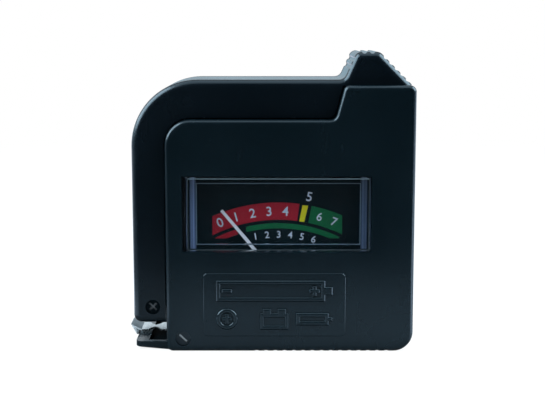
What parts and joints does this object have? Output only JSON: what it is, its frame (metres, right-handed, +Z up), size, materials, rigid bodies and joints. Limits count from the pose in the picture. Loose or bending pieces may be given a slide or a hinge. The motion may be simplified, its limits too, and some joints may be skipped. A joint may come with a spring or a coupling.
{
  "type": "battery tester",
  "caption": "Pocket analogue battery tester with a sliding contact arm, a clear meter window and a coloured dial.",
  "frame": {"origin": "middle of the bounding box at the base", "axes": "+Z up, +X to the right seen from the front, the dial faces -Y"},
  "size_m": [0.0588, 0.0246, 0.061],
  "materials": {
    "case_plastic": "semi-gloss moulded black",
    "arm_plastic": "semi-gloss moulded black",
    "inner_plastic": "dull moulded black",
    "clear_plastic": "clear moulded",
    "contact_metal": "bright plated spring strip",
    "brass": "plain",
    "screw_steel": "plain",
    "screw_black": "blacked steel",
    "iron": "soft iron",
    "magnet": "ferrite",
    "copper": "enamelled winding wire",
    "dial_paint": "black with printed coloured bands",
    "pointer_paint": "white painted",
    "resistor": "glazed",
    "wire": "insulated"
  },
  "bodies": {
    "housing": {"front_housing": "case_plastic", "rear_cover": "case_plastic", "chassis_plate": "inner_plastic", "case_screws": "screw_black", "chassis_screws": "screw_black", "meter_window": "clear_plastic", "meter_frame": "inner_plastic", "dial_plate": "dial_paint", "dial_screws": "screw_black", "pointer_stops": "screw_black", "iron_ring": "iron", "pole_magnets": "magnet", "iron_core": "iron", "front_bridge": "brass", "rear_bridge": "brass", "bearing_screws": "brass", "lower_contact": "contact_metal", "contact_brush": "brass", "load_resistor": "resistor", "series_resistor": "resistor", "dropping_resistor": "resistor", "resistor_leads": "contact_metal", "meter_terminals": "brass", "nine_volt_contacts": "contact_metal", "hookup_wires": "wire"},
    "arm": {"arm_shell": "arm_plastic", "arm_back": "arm_plastic", "arm_screws": "screw_black", "arm_contact": "contact_metal", "arm_wire": "wire", "bus_strip": "brass"},
    "needle": {"pointer": "pointer_paint", "counterweight": "brass", "moving_coil": "copper", "pivot_stubs": "screw_steel", "hairsprings": "brass"}
  },
  "joints": [
    {"name": "arm_slide", "type": "slide", "parent": "housing", "child": "arm", "axis": [0, 0, 1], "range_m": [0, 0.0485]},
    {"name": "needle_swing", "type": "hinge", "parent": "housing", "child": "needle", "pos_m": [0.00195, -0.0025, 0.0145], "axis": [0, 1, 0], "range_deg": [0, 80], "stiffness_Nm_per_rad": 0.00001, "springref_deg": -5.73, "deforming": ["hairsprings"]}
  ]
}
